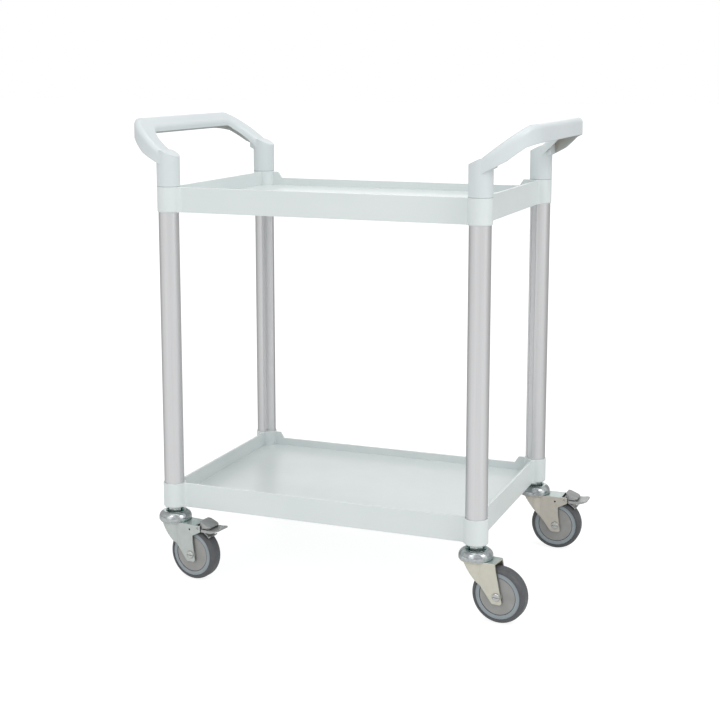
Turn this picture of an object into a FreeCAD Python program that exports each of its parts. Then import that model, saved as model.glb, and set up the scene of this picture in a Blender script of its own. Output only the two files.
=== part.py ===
# Serving trolley: two moulded trays pushed onto four aluminium posts, a bow handle on each
# short end and four swivel castors. The front left and back right castors have a pedal brake.
# Millimetres. +X runs along the long side, +Y to the back and +Z up. The origin lies on the
# floor, midway between the four posts.
import FreeCAD, Part
import math
import os
import re

import Sketcher
from FreeCAD import Placement, Rotation, Vector

DOC = FreeCAD.newDocument("serving_trolley")
SHEET = DOC.addObject("Spreadsheet::Sheet", "sizes")

SIZES = (
    # The frame: post axes, the lower tray above the castors and the upper one above the lower
    ("post_span_x", 600.0),
    ("post_span_y", 413.0),
    ("collar_show", 8.5),
    ("tray_pitch", 564.6),
    # Posts: round extrusions with a square notch that faces the middle of the tray
    ("post_diameter", 39.2),
    ("post_wall", 1.8),
    ("notch_inset", 1.5),
    ("lip_bead_radius", 1.9),
    # Trays
    ("socket_diameter", 43.0),
    ("socket_tall", 47.4),
    ("socket_web", 5.0),
    ("socket_web_level", 21.2),
    ("web_hole_diameter", 12.8),
    ("socket_foot_radius", 3.0),
    ("socket_fillet", 8.0),
    ("wall_stand_out", 0.5),
    ("wall", 4.0),
    ("rim_drop", 1.0),
    ("back_rim_dip", 12.5),
    ("back_ear", 34.0),
    ("back_ear_slope", 8.0),
    ("tray_floor", 3.0),
    ("tray_depth", 28.0),
    ("rib_tall", 8.0),
    ("rib", 2.2),
    ("rib_pitch", 95.0),
    # Clearances between pieces that are pushed together, and one overrun for all cuts
    ("push_fit", 0.15),
    ("seat_gap", 0.3),
    ("running_fit", 0.08),
    ("overrun", 2.0),
    # Handles: distances out from the post axis, and heights above the socket
    ("sleeve_foot_high", 55.5),
    ("sleeve_knee_out", 4.0),
    ("sleeve_knee_high", 67.3),
    ("arm_root_width", 42.0),
    ("arm_tip_width", 36.0),
    ("arm_root_high", 64.1),
    ("crest_run", 17.0),
    ("crest_high", 123.5),
    ("crest_radius", 12.0),
    ("bar_reach", 92.0),
    ("bar_width", 37.0),
    ("bar_outer_low", 92.0),
    ("bar_inner_low", 97.0),
    ("bow_edge_radius", 9.0),
    ("bow_shoulder", 12.0),
    ("bow_inner_shoulder", 11.0),
    ("outer_flange_root", 36.7),
    ("outer_flange_bend_out", 47.0),
    ("outer_flange_bend_high", 62.5),
    ("outer_flange_run", 18.0),
    ("outer_flange_tip_high", 85.0),
    ("inner_flange_root", 40.0),
    ("inner_flange_run", 5.0),
    ("inner_flange_tip_high", 89.0),
    ("handle_wall", 2.6),
    ("handle_rib", 2.0),
    ("handle_rib_pitch", 44.0),
    ("handle_rib_inset", 4.0),
    ("handle_pin_diameter", 11.0),
    ("handle_pin_grip", 26.0),
    ("pin_offset", 7.5),
    # Plugs in the posts and sockets
    ("plug_tall", 30.0),
    ("foot_plug_tall", 25.0),
    # Castors
    ("wheel_diameter", 100.0),
    ("wheel_width", 29.0),
    ("tread_flat", 11.0),
    ("tread_shoulder", 5.5),
    ("tread_round", 9.5),
    ("tyre_thick", 8.0),
    ("core_width", 27.0),
    ("core_rim", 7.5),
    ("core_web", 5.0),
    ("hub_diameter", 26.0),
    ("core_border", 8.5),
    ("disc_thick", 1.2),
    ("disc_inset", 0.6),
    ("disc_gap", 0.6),
    ("disc_edge_gap", 0.9),
    ("disc_boss_diameter", 18.0),
    ("bush_diameter", 13.0),
    ("axle_diameter", 8.0),
    ("axle_head_diameter", 14.5),
    ("axle_head_tall", 2.8),
    ("axle_head_round", 1.8),
    ("axle_nut_flats", 13.0),
    ("axle_nut_tall", 6.0),
    ("axle_end", 1.5),
    ("slot_width", 1.4),
    ("slot_deep", 1.0),
    ("trail", 47.5),
    ("wheel_top_gap", 7.0),
    ("fork_steel", 2.5),
    ("fork_width", 38.0),
    ("fork_front", 17.3),
    ("head_diameter", 52.0),
    ("flare_out", 16.5),
    ("flare_lead", 11.5),
    ("toe_drop", 13.5),
    ("toe_half_width", 10.3),
    ("toe_chamfer", 3.0),
    ("fork_back", 43.5),
    ("crown_diameter", 58.0),
    ("crown_boss_diameter", 28.0),
    ("crown_boss_tall", 5.7),
    ("arm_margin", 5.5),
    ("arm_plate_reach", 60.0),
    ("arm_tall", 12.0),
    ("arm_throat_out", 53.0),
    ("arm_throat_low_drop", 33.5),
    ("arm_throat_high_drop", 21.5),
    ("spring_hole_out", 46.5),
    ("spring_hole_drop", 9.8),
    ("spring_hole_diameter", 3.6),
    ("king_diameter", 12.0),
    ("rivet_diameter", 20.0),
    ("rivet_tall", 2.2),
    ("collar_flats", 22.0),
    ("cap_diameter", 62.0),
    ("cap_tall", 16.0),
    ("cap_gap", 0.5),
    ("cap_skirt", 4.0),
    ("cap_round", 12.5),
    ("cap_crown_diameter", 44.0),
    ("cap_recess_diameter", 33.0),
    ("cap_recess_deep", 8.0),
    ("cap_steel", 2.5),
    ("ball_diameter", 7.0),
    ("ball_circle", 48.0),
    ("groove_gap", 0.36),
    # Brake: a two-leaf pedal on a pin between the fork arms, over a shoe above the tread
    ("pin_out", 65.5),
    ("pin_drop", 5.0),
    ("pin_diameter", 4.0),
    ("pedal_barrel_diameter", 7.0),
    ("pedal_steel", 2.0),
    ("upper_leaf_width", 34.0),
    ("lower_leaf_width", 41.0),
    ("pedal_web_width", 31.0),
    ("pedal_rise", 13.5),
    ("upper_leaf_root", 2.0),
    ("upper_leaf_long", 26.0),
    ("upper_leaf_rise", 4.0),
    ("upper_leaf_chamfer", 4.0),
    ("skirt_rise", 1.0),
    ("skirt_root", 9.0),
    ("lower_leaf_drop", 5.3),
    ("lower_leaf_tall", 5.0),
    ("lower_leaf_flat", 30.0),
    ("lower_leaf_long", 45.5),
    ("lower_leaf_tip_rise", 2.0),
    ("lower_leaf_chamfer", 5.0),
    ("shoe_steel", 1.6),
    ("shoe_width", 22.0),
    ("shoe_gap", 2.0),
    ("shoe_root_offset", 4.5),
    ("shoe_tab", 6.0),
    # Where the shoe's arc starts and ends, in degrees above the horizontal through the axle
    ("shoe_start_angle", 74.0),
    ("shoe_tab_angle", 45.0),
    ("shoe_end_angle", 43.0),
    # Directions in which the castors trail, in degrees from +X
    ("trail_angle_front_left", -8.7),
    ("trail_angle_front_right", -7.1),
    ("trail_angle_back_right", 0.9),
    ("trail_angle_back_left", -4.0),
)

# Places that follow the sizes above
FOLLOWING = {
    "axle_level": "wheel_diameter / 2",
    "core_diameter": "wheel_diameter - 2 * tyre_thick",
    "disc_diameter": "core_diameter - 2 * core_border",
    "fork_top": "wheel_diameter + wheel_top_gap + fork_steel",
    "fork_toe": "axle_level - toe_drop",
    "arm_reach": "pin_out + arm_margin",
    "arm_underside": "fork_top - arm_tall",
    "arm_throat_low": "fork_top - arm_throat_low_drop",
    "arm_throat_high": "fork_top - arm_throat_high_drop",
    "spring_hole_level": "fork_top - spring_hole_drop",
    "pin_level": "fork_top - pin_drop",
    "pedal_top": "pin_level + pedal_rise",
    "upper_leaf_start": "pin_out + upper_leaf_root",
    "upper_leaf_end": "pin_out + upper_leaf_long",
    "upper_leaf_low": "pin_level + upper_leaf_rise",
    "skirt_start": "pin_out + skirt_root",
    "skirt_low": "pin_level + skirt_rise",
    "lower_leaf_low": "pin_level - lower_leaf_drop",
    "lower_leaf_high": "lower_leaf_low + lower_leaf_tall",
    "lower_leaf_bend": "pin_out + lower_leaf_flat",
    "lower_leaf_end": "pin_out + lower_leaf_long",
    "lower_leaf_tip": "pin_level + lower_leaf_tip_rise",
    "shoe_root_out": "trail + shoe_root_offset",
    "lower_tray_level": "fork_top + cap_gap + cap_tall + collar_show",
    "upper_tray_level": "lower_tray_level + tray_pitch",
    "crest_out": "bar_reach - crest_run",
    "bow_outer_radius": "bar_reach - bow_shoulder",
    "bow_inner_radius": "bar_reach - bar_width - bow_inner_shoulder",
    "outer_flange_tip_out": "bar_reach - outer_flange_run",
    "inner_flange_tip_out": "bar_reach - bar_width - inner_flange_run",
}

BALL_COUNT = 14

CORNERS = (
    # name, side in X, side in Y, turn that points the notch to the middle, braked
    ("front_left", -1, -1, 0, True),
    ("front_right", 1, -1, 90, False),
    ("back_right", 1, 1, 180, True),
    ("back_left", -1, 1, 270, False),
)

for row, (alias, value) in enumerate(SIZES, start=1):
    SHEET.set(f"A{row}", alias)
    SHEET.set(f"B{row}", str(value))
    SHEET.setAlias(f"B{row}", alias)
DOC.recompute()
ALIASES = {alias for alias, value in SIZES}
NODES = []


def linked(text):
    """The expression with each size's alias written as a cell of the sheet."""
    def cell(word):
        if word.group() in FOLLOWING:
            return f"({linked(FOLLOWING[word.group()])})"
        return "sizes." + word.group() if word.group() in ALIASES else word.group()
    return re.sub(r"[a-z_][a-z_0-9]*", cell, str(text))


def size(text):
    """The number that an expression of sizes gives."""
    return float(SHEET.evalExpression(linked(text)))


def bind(piece, **expressions):
    for name, text in expressions.items():
        piece.setExpression(name, linked(text))
    return piece


def place(piece, x="0", y="0", z="0", turn=None):
    """Put a piece at x, y, z, turned about +Z by the angle that an expression gives."""
    if turn is not None:
        piece.Placement = Placement(Vector(), Rotation(Vector(0, 0, 1), size(turn)))
        piece.setExpression("Placement.Rotation.Angle", linked(turn))
        piece.setExpression("Placement.Rotation.Axis.z", "1")
    for axis, text in (("x", x), ("y", y), ("z", z)):
        piece.setExpression("Placement.Base." + axis, linked(text))
    return piece


def primitive(kind, name, x="0", y="0", z="0", **expressions):
    piece = DOC.addObject("Part::" + kind, name)
    bind(piece, **expressions)
    return place(piece, x, y, z)


def fused(name, pieces):
    whole = DOC.addObject("Part::MultiFuse", name)
    whole.Shapes = pieces
    whole.Refine = True
    return whole


def grouped(name, pieces):
    whole = DOC.addObject("Part::Compound", name)
    whole.Links = pieces
    return whole


def cut(name, base, tools):
    tool = tools[0] if len(tools) == 1 else fused(name + "_tools", tools)
    result = DOC.addObject("Part::Cut", name)
    result.Base = base
    result.Tool = tool
    result.Refine = True
    return result


def node(piece, label):
    """Keep a finished piece under the name of its file."""
    piece.Label = label
    NODES.append(piece)
    return piece


def corner_xy(side_x, side_y):
    return f"{side_x} * post_span_x / 2", f"{side_y} * post_span_y / 2"


# Sketches whose corners are fixed by expressions of the sizes


def hold(sketch, edge, end, axis, text, name):
    """Fix one coordinate of a point: on the axis where it is zero, else by a dimension."""
    if text == "0":
        sketch.addConstraint(Sketcher.Constraint("PointOnObject", edge, end, -2 if axis == "X" else -1))
        return
    index = sketch.addConstraint(
        Sketcher.Constraint("Distance" + axis, -1, 1, edge, end, size(text)))
    sketch.renameConstraint(index, name)
    sketch.setExpression("Constraints." + name, linked(text))


def arc_centre(start, end, radius, side):
    """The centre of an arc that bulges to the right of the way from start to end (side 1)."""
    chord = end - start
    reach = math.sqrt(max(radius ** 2 - (chord.Length / 2) ** 2, 0))
    across = Vector(-chord.y, chord.x, 0).normalize()
    return (start + end) * 0.5 + across * reach * side


def draw_circle(sketch, x, y, radius):
    circle = Part.Circle(Vector(size(x), size(y), 0), Vector(0, 0, 1), size(radius))
    edge = sketch.addGeometry(circle, False)
    hold(sketch, edge, 3, "X", x, f"{sketch.Name}_x")
    hold(sketch, edge, 3, "Y", y, f"{sketch.Name}_y")
    return hold_radius(sketch, edge, radius, f"{sketch.Name}_r")


def hold_radius(sketch, edge, radius, name):
    index = sketch.addConstraint(Sketcher.Constraint("Radius", edge, size(radius)))
    sketch.renameConstraint(index, name)
    sketch.setExpression("Constraints." + name, linked(radius))
    return sketch


def draw(sketch, rows):
    """Draw a closed outline. A row holds x, y and, where an arc leaves it, radius and side.
    A single row is a circle: the x and y of its centre, and its radius."""
    if len(rows) == 1:
        return draw_circle(sketch, *rows[0])
    points = [Vector(size(row[0]), size(row[1]), 0) for row in rows]
    ends = []
    for index, row in enumerate(rows):
        start = points[index]
        end = points[(index + 1) % len(rows)]
        if len(row) == 2:
            edge = sketch.addGeometry(Part.LineSegment(start, end), False)
            ends.append((edge, 1, 2))
            continue
        radius = size(row[2])
        centre = arc_centre(start, end, radius, row[3])
        first, last = (start, end) if row[3] > 0 else (end, start)
        angles = [math.atan2(p.y - centre.y, p.x - centre.x) for p in (first, last)]
        circle = Part.Circle(centre, Vector(0, 0, 1), radius)
        edge = sketch.addGeometry(Part.ArcOfCircle(circle, *angles), False)
        ends.append((edge, 1, 2) if row[3] > 0 else (edge, 2, 1))
    for index, row in enumerate(rows):
        edge, start, end = ends[index]
        following, next_start = ends[(index + 1) % len(rows)][:2]
        sketch.addConstraint(Sketcher.Constraint("Coincident", edge, end, following, next_start))
        hold(sketch, edge, start, "X", row[0], f"{sketch.Name}_x{index}")
        hold(sketch, edge, start, "Y", row[1], f"{sketch.Name}_y{index}")
        if len(row) > 2:
            hold_radius(sketch, edge, row[2], f"{sketch.Name}_r{index}")
    return sketch


def body_sketch(body, name, plane, rows, offset=None):
    sketch = body.newObject("Sketcher::SketchObject", name)
    origin_plane = [part for part in body.Origin.OriginFeatures if part.Role == plane][0]
    sketch.AttachmentSupport = [(origin_plane, "")]
    sketch.MapMode = "FlatFace"
    if offset:
        sketch.setExpression("AttachmentOffset.Base.z", linked(offset))
    return draw(sketch, rows)


def disc(radius, x="0", y="0"):
    return [(x, y, radius)]


def revolved(body, name, plane, rows):
    sketch = body_sketch(body, name + "_profile", plane, rows)
    turned = body.newObject("PartDesign::Revolution", name)
    turned.Profile = sketch
    turned.ReferenceAxis = (sketch, ["V_Axis"])
    turned.Angle = 360
    return turned


def prism(body, kind, name, plane, rows, length, offset=None, both_ways=False, backwards=False):
    """A Pad or a Pocket of an outline, its length given by an expression."""
    sketch = body_sketch(body, name + "_outline", plane, rows, offset)
    feature = body.newObject("PartDesign::" + kind, name)
    feature.Profile = sketch
    feature.SideType = "Symmetric" if both_ways else "One side"
    feature.Reversed = backwards
    bind(feature, Length=length)
    return feature


def new_body(name, x="0", y="0", z="0", turn="0"):
    return place(DOC.addObject("PartDesign::Body", name), x, y, z, turn)


def rectangle(x_low, x_high, y_low, y_high):
    return [(x_low, y_low), (x_high, y_low), (x_high, y_high), (x_low, y_high)]


def hexagon(flats):
    """Corners of a hexagon about the sketch's origin."""
    corner = f"{flats} / sqrt(3)"
    half = f"{flats} / 2"
    return [(corner, "0"), (f"{corner} / 2", half), (f"-({corner}) / 2", half),
            (f"-({corner})", "0"), (f"-({corner}) / 2", f"-({half})"), (f"{corner} / 2", f"-({half})")]


# Posts and what is pushed into them


def notched_bar(name, radius, inset, bottom, height, bead=None):
    """A round bar without the quadrant beyond the inset on +X and +Y, with a bead on each lip."""
    bar = primitive("Cylinder", name + "_round", z=bottom, Radius=radius, Height=height)
    notch = primitive("Box", name + "_notch", inset, inset, f"{bottom} - overrun",
                      Length=f"{radius} + overrun", Width=f"{radius} + overrun",
                      Height=f"{height} + 2 * overrun")
    piece = cut(name + "_bar", bar, [notch])
    if bead is None:
        return piece
    lip = f"{radius} - ({bead})"
    beads = [primitive("Cylinder", f"{name}_bead_{index}", x, y, bottom, Radius=bead, Height=height)
             for index, (x, y) in enumerate(((lip, inset), (inset, lip)))]
    return fused(name + "_beaded", [piece] + beads)


def post(name, side_x, side_y, turn):
    bottom = "lower_tray_level + socket_web_level + socket_web"
    height = f"upper_tray_level + socket_web_level - ({bottom})"
    outside = notched_bar(name, "post_diameter / 2", "notch_inset", bottom, height, "lip_bead_radius")
    inside = notched_bar(name + "_inside", "post_diameter / 2 - post_wall", "notch_inset - post_wall",
                         f"{bottom} - overrun", f"{height} + 2 * overrun")
    return node(place(cut(name, outside, [inside]), *corner_xy(side_x, side_y), turn=turn), name)


def post_plug(name, bottom, height, side_x, side_y, turn):
    """A plug of the post's inside, bored on the side away from the notch for a handle's pin."""
    plug = notched_bar(name, "post_diameter / 2 - post_wall - push_fit",
                       "notch_inset - post_wall - push_fit", bottom, height)
    hole = primitive("Cylinder", name + "_bore", "-pin_offset", "-pin_offset",
                     f"{bottom} - overrun", Radius="handle_pin_diameter / 2 + push_fit",
                     Height=f"{height} + 2 * overrun")
    return place(cut(name, plug, [hole]), *corner_xy(side_x, side_y), turn=turn)


def castor_insert(name, side_x, side_y, turn):
    """The plug in the lower tray's socket that the castor's stem goes up through."""
    height = "socket_web_level - seat_gap"
    plug = notched_bar(name, "post_diameter / 2", "notch_inset", "lower_tray_level", height)
    hole = primitive("Cylinder", name + "_bore", z="lower_tray_level - overrun",
                     Radius="king_diameter / 2 + push_fit", Height=f"{height} + 2 * overrun")
    return place(cut(name, plug, [hole]), *corner_xy(side_x, side_y), turn=turn)


# Trays


def socket(tag):
    """A round corner column with a rounded foot."""
    column = primitive("Cylinder", tag + "_column", Radius="socket_diameter / 2", Height="socket_tall")
    DOC.recompute()
    low = [index for index, edge in enumerate(column.Shape.Edges, start=1) if edge.BoundBox.ZMax < 1]
    rounded_foot = DOC.addObject("Part::Fillet", tag + "_socket")
    rounded_foot.Base = column
    radius = size("socket_foot_radius")
    rounded_foot.Edges = [(index, radius, radius) for index in low]
    return rounded_foot


def socket_fillets(tag, side_x, side_y, height):
    """The two hollow fillets that lead from a socket into the walls beside it."""
    # Centre of the fillet's round, along the wall and out from it, and where it meets the socket
    out = "wall_stand_out + socket_fillet"
    spread = "socket_diameter / 2 + socket_fillet"
    along = f"sqrt(({spread})^2 - ({out})^2)"
    socket_share = f"socket_diameter / 2 / ({spread})"
    fillets = []
    for wall, (inward_x, inward_y, out_x, out_y) in (
            ("long", (-side_x, 0, 0, side_y)), ("short", (0, -side_y, side_x, 0))):
        depth = f"({out}) * {socket_share}"
        reach = f"({along})"
        block = primitive(
            "Box", f"{tag}_{wall}_block",
            corner_low(inward_x, reach, out_x, depth), corner_low(inward_y, reach, out_y, depth),
            Length=reach if inward_x else depth, Width=reach if inward_y else depth, Height=height)
        round_x = f"{inward_x} * {reach} + {out_x} * ({out})"
        round_y = f"{inward_y} * {reach} + {out_y} * ({out})"
        hollow = primitive("Cylinder", f"{tag}_{wall}_hollow", round_x, round_y, "-overrun",
                           Radius="socket_fillet", Height=f"{height} + 2 * overrun")
        fillets.append(cut(f"{tag}_{wall}_fillet", block, [hollow]))
    return fillets


def corner_low(inward, reach, out, depth):
    """The lower coordinate of a fillet's block, which starts at the post axis."""
    if inward:
        return "0" if inward > 0 else f"-{reach}"
    return "0" if out > 0 else f"-({depth})"


def tray(name, level, hole_offset):
    """An open box with walls in line with the post axes and a round socket on each corner.
    The web across each socket has a hole, offset away from the notch for a handle's pin."""
    half_x = "post_span_x / 2 + wall_stand_out"
    half_y = "post_span_y / 2 + wall_stand_out"
    rim = "socket_tall - rim_drop"
    floor_top = f"{rim} - tray_depth"
    floor_low = f"{floor_top} - tray_floor"

    def block(tag, inset, bottom, height):
        return primitive("Box", f"{name}_{tag}", f"-({half_x}) + {inset}", f"-({half_y}) + {inset}",
                         bottom, Length=f"2 * ({half_x}) - 2 * {inset}",
                         Width=f"2 * ({half_y}) - 2 * {inset}", Height=height)

    shell = block("shell", "0", "0", rim)
    inside = block("inside", "wall", floor_top, "tray_depth + overrun")
    below = block("below", "wall", "-overrun", f"{floor_low} + overrun")
    dip = DOC.addObject("Part::Wedge", name + "_dip")
    reach = "post_span_x / 2 - back_ear"
    bind(dip, Xmin=f"-({reach}) + back_ear_slope", Xmax=f"{reach} - back_ear_slope",
         X2min=f"-({reach})", X2max=reach, Ymin="0", Ymax="back_rim_dip",
         Zmin="0", Z2min="0", Zmax="wall + 2 * overrun", Z2max="wall + 2 * overrun")
    dip.Placement = Placement(Vector(), Rotation(Vector(1, 0, 0), 90))
    place(dip, "0", f"{half_y} + overrun", f"{rim} - back_rim_dip")
    slot = primitive("Box", name + "_dip_top", f"-({reach})", f"{half_y} - wall - overrun", rim,
                     Length=f"2 * ({reach})", Width="wall + 2 * overrun", Height="overrun")
    box = cut(name + "_box", shell, [inside, below, dip, slot])

    pieces = [box]
    rib_low = f"{floor_low} - rib_tall"
    rib_high = "rib_tall + tray_floor / 2"
    for tag, steps, along_x in (("cross", 2, False), ("long", 1, True)):
        for step in range(-steps, steps + 1):
            middle = f"{step} * rib_pitch"
            length_x = f"2 * ({half_x}) - wall" if along_x else "rib"
            length_y = "rib" if along_x else f"2 * ({half_y}) - wall"
            at_x = f"-({length_x}) / 2" if along_x else f"{middle} - rib / 2"
            at_y = f"{middle} - rib / 2" if along_x else f"-({length_y}) / 2"
            pieces.append(primitive("Box", f"{name}_{tag}_rib_{step + steps}", at_x, at_y, rib_low,
                                    Length=length_x, Width=length_y, Height=rib_high))
    bores = []
    for corner, side_x, side_y, turn, braked in CORNERS:
        tag = f"{name}_{corner}"
        x, y = corner_xy(side_x, side_y)
        pieces.append(place(socket(tag), x, y))
        pieces += [place(piece, x, y) for piece in socket_fillets(tag, side_x, side_y, rim)]
        for half, bottom, height in (
                ("lower", "-overrun", "socket_web_level + overrun"),
                ("upper", "socket_web_level + socket_web",
                 "socket_tall - socket_web_level - socket_web + overrun")):
            bore = notched_bar(f"{tag}_{half}", "post_diameter / 2 + push_fit",
                               "notch_inset + push_fit", bottom, height, "lip_bead_radius + push_fit")
            bores.append(place(bore, x, y, turn=turn))
        reach = primitive("Cylinder", tag + "_web_hole", f"-{hole_offset}", f"-{hole_offset}",
                          Radius="web_hole_diameter / 2", Height="socket_tall")
        bores.append(place(grouped(tag + "_web_holes", [reach]), x, y, turn=turn))
    body = fused(name + "_moulding", pieces)
    return node(place(cut(name, body, bores), z=level), name)


# Handles


def rounded(points):
    """A closed wire through x, y, radius points, each corner rounded by its radius."""
    count = len(points)
    places = [Vector(x, y, 0) for x, y, radius in points]
    trims = []
    for index, (x, y, radius) in enumerate(points):
        here = places[index]
        back = (places[index - 1] - here).normalize()
        ahead = (places[(index + 1) % count] - here).normalize()
        half = back.getAngle(ahead) / 2
        trim = radius / math.tan(half) if radius else 0
        middle = (back + ahead).normalize() if radius else Vector()
        crown = here + middle * (radius / math.sin(half) - radius) if radius else here
        trims.append((here + back * trim, crown, here + ahead * trim, radius))
    edges = []
    for index, (start, crown, end, radius) in enumerate(trims):
        if radius:
            edges.append(Part.Arc(start, crown, end).toShape())
        following = trims[(index + 1) % count][0]
        if (following - end).Length > 1e-6:
            edges.append(Part.LineSegment(end, following).toShape())
    return Part.Wire(edges)


def side_block(points, width):
    """The outline in out-and-up points, stretched along Y to both sides by half the width."""
    wire = rounded(points)
    wire.rotate(Vector(), Vector(1, 0, 0), 90)
    wire.translate(Vector(0, width / 2, 0))
    return Part.Face(wire).extrude(Vector(0, -width, 0))


def plan_block(points, low, high):
    """The outline in out-and-back points, stretched from the low to the high level."""
    wire = rounded(points)
    wire.translate(Vector(0, 0, low))
    return Part.Face(wire).extrude(Vector(0, 0, high - low))


def bow_inside(inset, low, high):
    """The space between the arms and inside the bar, drawn in or out by the inset."""
    middle = size("post_span_y / 2")
    root_y = middle - size("arm_root_width / 2") + inset
    tip_y = middle - size("arm_tip_width / 2") + inset
    reach = size("bar_reach - bar_width") + inset
    radius = size("bow_inner_radius") + inset
    return plan_block([(0, -root_y, 0), (reach, -tip_y, radius), (reach, tip_y, radius),
                       (0, root_y, 0)], low, high)


def upper_edges(solid):
    """The long edges where the upright sides of the bow meet its top."""
    edges = []
    for face in solid.Faces:
        upright = abs(face.normalAt(0, 0).z) < size("push_fit")
        at_root = face.BoundBox.XMax < size("push_fit")
        if upright and not at_root:
            edges += [edge for edge in face.Edges if edge.BoundBox.ZMin > 0]
    return edges


def bow_solid(inset):
    """Two arms rising outwards to a bar across their ends, without a hollow or lower edges."""
    middle = size("post_span_y / 2")
    root_y = middle + size("arm_root_width / 2") - inset
    tip_y = middle + size("arm_tip_width / 2") - inset
    reach = size("bar_reach") - inset
    radius = size("bow_outer_radius") - inset
    low, high = -size("overrun"), size("crest_high + overrun")
    plan = plan_block([(0, -root_y, 0), (reach, -tip_y, radius), (reach, tip_y, radius),
                       (0, root_y, 0)], low, high)
    plan = plan.cut(bow_inside(inset, 2 * low, 2 * high))
    crest = size("crest_high") - inset
    side = side_block([(0, low, 0), (0, size("arm_root_high") - inset, 0),
                       (size("crest_out"), crest, size("crest_radius") - inset),
                       (reach, crest, 0), (reach, low, 0)], 2 * root_y + size("overrun"))
    solid = plan.common(side)
    return solid.makeFillet(size("bow_edge_radius") - inset, upper_edges(solid))


def handle(name, side):
    """A moulded bow, hollow from below, with a sleeve over each socket and a plug into it."""
    overrun = size("overrun")
    wall = size("handle_wall")
    sleeve_radius = size("socket_diameter / 2")
    reach = size("bar_reach") + overrun
    wide = size("post_span_y + 2 * socket_diameter")
    roots = Part.makeBox(sleeve_radius + wall, wide, size("crest_high + overrun"),
                         Vector(0, -wide / 2, -overrun))
    bow = bow_solid(0).cut(bow_solid(wall).cut(roots))
    below_outer = side_block([(-overrun, -2 * overrun, 0), (-overrun, size("outer_flange_root"), 0),
                              (size("outer_flange_bend_out"), size("outer_flange_bend_high"), 0),
                              (size("outer_flange_tip_out"), size("outer_flange_tip_high"), 0),
                              (size("bar_reach"), size("bar_outer_low"), 0),
                              (reach, size("bar_outer_low"), 0), (reach, -2 * overrun, 0)], wide)
    below_inner = side_block([(-overrun, -2 * overrun, 0), (-overrun, size("inner_flange_root"), 0),
                              (size("inner_flange_tip_out"), size("inner_flange_tip_high"), 0),
                              (size("bar_reach - bar_width"), size("bar_inner_low"), 0),
                              (reach, size("bar_inner_low"), 0), (reach, -2 * overrun, 0)], wide)
    inner_strip = bow_inside(2 * wall, -2 * overrun, size("crest_high"))
    bow = bow.cut(below_outer).cut(below_inner.common(inner_strip))
    pitch = size("handle_rib_pitch")
    rib = size("handle_rib")
    rib_low = size("bar_inner_low + handle_rib_inset")
    count = int(size("post_span_y / 2 - arm_root_width") // pitch)
    whole = bow_solid(wall / 2)
    ribs = [Part.makeBox(size("bar_width"), rib, size("crest_high") - rib_low,
                         Vector(size("bar_reach - bar_width"), step * pitch - rib / 2, rib_low))
            for step in range(-count, count + 1)]
    pieces = [bow] + [slab.common(whole) for slab in ribs]
    knee = (size("sleeve_knee_out"), size("sleeve_knee_high"), 0)
    slope = side_block([(-sleeve_radius, 0, 0), (sleeve_radius, 0, 0),
                        (sleeve_radius, size("sleeve_knee_high"), 0), knee,
                        (-sleeve_radius, size("sleeve_foot_high"), 0)], wide)
    for side_y in (-1, 1):
        at = Vector(0, side_y * size("post_span_y / 2"), 0)
        sleeve = Part.makeCylinder(sleeve_radius, size("crest_high"), at).common(slope)
        plug_low = -size("socket_tall - socket_web_level - socket_web - seat_gap")
        plug = Part.makeCylinder(size("post_diameter / 2"), -plug_low, at + Vector(0, 0, plug_low))
        inset = size("notch_inset")
        quarter = Part.makeBox(sleeve_radius, sleeve_radius, -plug_low,
                               Vector(inset, inset, plug_low))
        # The notch faces the middle of the tray, which is inwards from either end
        quarter.rotate(Vector(), Vector(0, 0, 1), 90 if side_y < 0 else 180)
        quarter.translate(at)
        pin_low = plug_low - size("handle_pin_grip")
        pin = Part.makeCylinder(size("handle_pin_diameter / 2"), -pin_low,
                                at + Vector(size("pin_offset"), side_y * size("pin_offset"), pin_low))
        pieces += [sleeve, plug.cut(quarter), pin]
    shape = pieces[0].multiFuse(pieces[1:]).removeSplitter()
    piece = DOC.addObject("Part::Feature", name)
    piece.Shape = shape
    place(piece, f"{side} * post_span_x / 2", "0", "upper_tray_level + socket_tall",
          turn="0" if side > 0 else "180")
    return node(piece, name)


# Castors, each drawn with its swivel axis on Z and its wheel trailing along +X


def castor(corner, side_x, side_y, braked):
    name = "castor_" + corner
    turn = "trail_angle_" + corner
    x, y = corner_xy(side_x, side_y)
    wheel_x = f"{x} + trail * cos({turn})"
    wheel_y = f"{y} + trail * sin({turn})"
    at_stem = dict(x=x, y=y, turn=turn)
    at_axle = dict(x=wheel_x, y=wheel_y, z="axle_level", turn=turn)

    stem(name, at_stem)
    cap(name, at_stem)
    balls(name, at_stem)
    fork(name, at_stem, braked)
    tyre(name, at_axle)
    core(name, at_axle)
    dust_discs(name, at_axle)
    bush(name, at_axle)
    axle(name, at_axle)
    if braked:
        brake_pin(name, at_stem)
        pedal(name, at_stem)
        shoe(name, at_stem)


def stem(name, at):
    """Kingpin, hexagonal collar and the stud that goes up into the socket, in one piece."""
    low = "fork_top - fork_steel - seat_gap - rivet_tall"
    high = "lower_tray_level + socket_web_level + socket_web - seat_gap"
    collar_low = "fork_top + cap_gap + cap_tall - cap_recess_deep"
    body = new_body(name + "_stem", **at)
    revolved(body, name + "_pin", "XZ_Plane",
             [("0", low), ("rivet_diameter / 2", low), ("rivet_diameter / 2", f"{low} + rivet_tall"),
              ("king_diameter / 2", f"{low} + rivet_tall"),
              ("king_diameter / 2", high), ("0", high)])
    prism(body, "Pad", name + "_collar", "XY_Plane", hexagon("collar_flats"),
          f"lower_tray_level - ({collar_low})", offset=collar_low)
    node(body, name + "_stem")


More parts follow.
